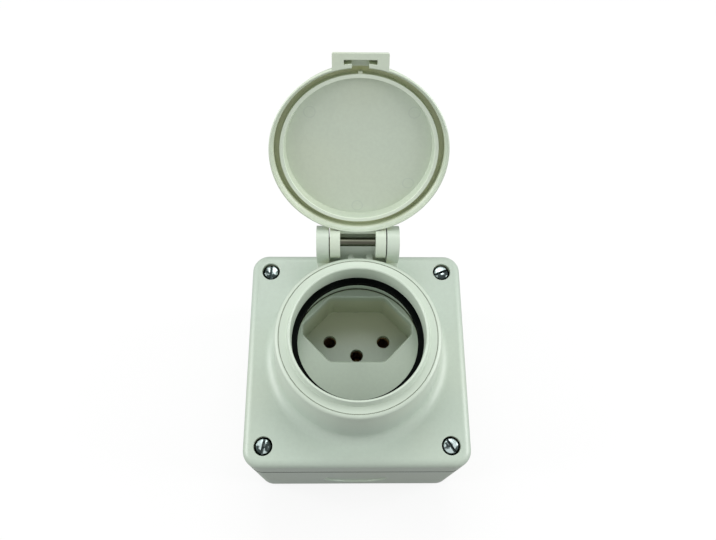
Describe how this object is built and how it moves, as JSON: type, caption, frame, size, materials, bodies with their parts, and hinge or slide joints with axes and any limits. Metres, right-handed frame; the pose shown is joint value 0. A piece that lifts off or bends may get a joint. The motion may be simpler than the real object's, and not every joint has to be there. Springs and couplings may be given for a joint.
{
  "type": "outdoor weatherproof socket",
  "caption": "Surface-mounted weatherproof mains socket: square wall box with a screwed cover, a round collar with a seal round a three-pin recess, and a hinged round lid.",
  "frame": {"origin": "middle of the flat back of the box, the face that lies against the wall", "axes": "+X to the right as seen from in front, +Y up the wall towards the hinge, +Z out of the wall, along the way a plug is pulled out"},
  "size_m": [0.075, 0.1043, 0.1315],
  "materials": {
    "housing": "pale grey moulded plastic, satin",
    "insert": "pale grey moulded plastic, satin",
    "seal": "black soft rubber",
    "screw": "bright zinc plated steel",
    "contact": "bright brass"
  },
  "bodies": {
    "box": {"base_box": "housing", "base_seal": "seal", "cover": "housing", "collar_gasket": "seal", "cover_screw_top_left": "screw", "screw_washer_top_left": "seal", "cover_screw_top_right": "screw", "screw_washer_top_right": "seal", "cover_screw_bottom_left": "screw", "screw_washer_bottom_left": "seal", "cover_screw_bottom_right": "screw", "screw_washer_bottom_right": "seal", "socket_face": "insert", "socket_body": "insert", "contact_line": "contact", "terminal_screw_line": "screw", "contact_neutral": "contact", "terminal_screw_neutral": "screw", "contact_earth": "contact", "terminal_screw_earth": "screw", "insert_screw_left": "screw", "insert_screw_right": "screw", "hinge_pin": "screw"},
    "lid": {"lid": "housing"}
  },
  "joints": [
    {"name": "lid_hinge", "type": "hinge", "parent": "box", "child": "lid", "pos_m": [0, 0.03178, 0.0781], "axis": [1, 0, 0], "range_deg": [0, 122.8]}
  ]
}
